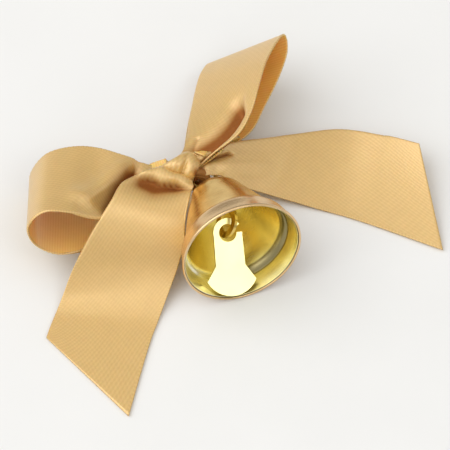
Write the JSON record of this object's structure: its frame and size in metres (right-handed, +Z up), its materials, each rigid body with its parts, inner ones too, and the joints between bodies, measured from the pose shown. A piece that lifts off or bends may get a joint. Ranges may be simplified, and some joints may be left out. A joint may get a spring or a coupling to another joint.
{
  "type": "small bell with ribbon bow",
  "caption": "Small gold bell lying on its side, with a flat clapper hooked to its hanger and a satin ribbon bow tied through the hanger's loop.",
  "frame": {"origin": "centre of the whole part's footprint, on the surface it lies on", "axes": "+Z up; the bell's mouth faces -Y and a little to +X; the ribbon's loops lie towards -X and +Y, its tails towards -Y and +X"},
  "size_m": [0.0826, 0.0838, 0.0245],
  "materials": {
    "cup_metal": "satin, gold plated, bright inside",
    "hanger_metal": "polished",
    "clapper_metal": "polished",
    "satin": "satin weave"
  },
  "bodies": {
    "bow": {"ribbon_turn": "satin", "bow_knot": "satin", "left_loop": "satin", "upper_loop": "satin", "left_tail": "satin", "right_tail": "satin"},
    "bell": {"bell_cup": "cup_metal", "hanger": "hanger_metal"},
    "clapper": {"clapper": "clapper_metal"}
  },
  "joints": [
    {"name": "bell_swing", "type": "hinge", "parent": "bow", "child": "bell", "pos_m": [-0.00602, 0.01062, 0.00755], "axis": [-0.0674, 0.1924, 0.979], "range_deg": [0, 25]},
    {"name": "clapper_swing", "type": "hinge", "parent": "bell", "child": "clapper", "pos_m": [-0.00175, -0.00158, 0.01024], "axis": [-0.9291, -0.2695, 0.2534], "range_deg": [0, 93]}
  ]
}
